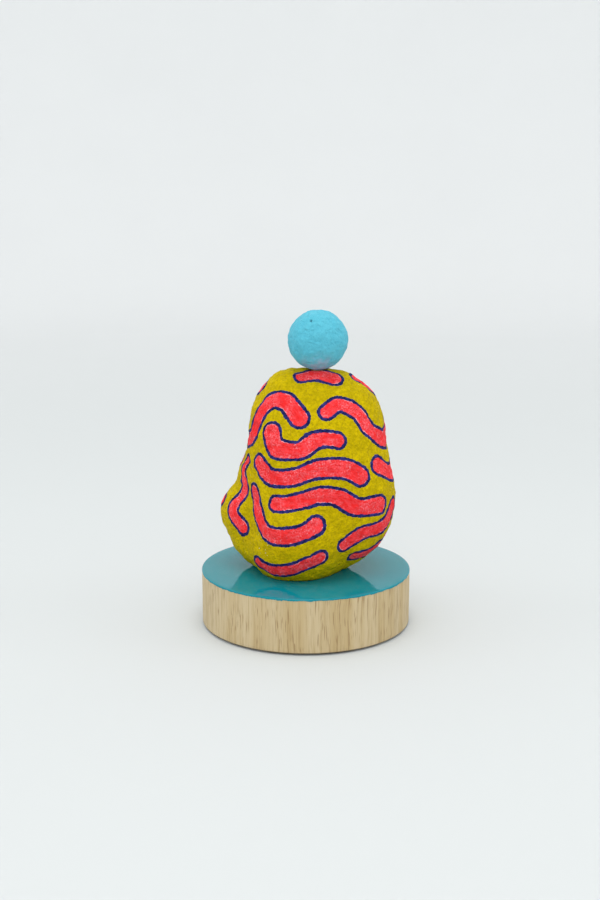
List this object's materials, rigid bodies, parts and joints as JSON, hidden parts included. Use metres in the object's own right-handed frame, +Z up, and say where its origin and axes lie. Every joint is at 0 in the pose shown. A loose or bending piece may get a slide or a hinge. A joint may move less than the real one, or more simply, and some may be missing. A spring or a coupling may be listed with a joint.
{
  "type": "painted papier-mache sculpture",
  "caption": "Lumpy painted papier-mache blob screwed to a round wooden base, with a small ball that turns on a peg on top.",
  "frame": {"origin": "centre of the felt face that the object stands on", "axes": "+Z up through the base, -Y towards the painted front, +X to the right seen from the front"},
  "size_m": [0.1, 0.1, 0.1505],
  "materials": {
    "base_wood": "satin",
    "teal_enamel": "gloss",
    "felt": "matte",
    "steel": "satin",
    "painted_paper": "matte",
    "paper_pulp": "matte",
    "plain_wood": "matte",
    "turquoise_paper": "matte"
  },
  "bodies": {
    "sculpture": {"base_disc": "base_wood", "base_enamel": "teal_enamel", "base_felt": "felt", "base_screws": "steel", "base_washers": "steel", "body_shell": "painted_paper", "body_core": "paper_pulp", "anchor_block": "plain_wood", "ball_peg": "plain_wood"},
    "ball": {"ball_shell": "turquoise_paper", "ball_core": "paper_pulp"}
  },
  "joints": [
    {"name": "ball_turn", "type": "hinge", "parent": "sculpture", "child": "ball", "pos_m": [0.0055, -0.001, 0.1364], "axis": [0, 0, 1], "continuous": true}
  ]
}
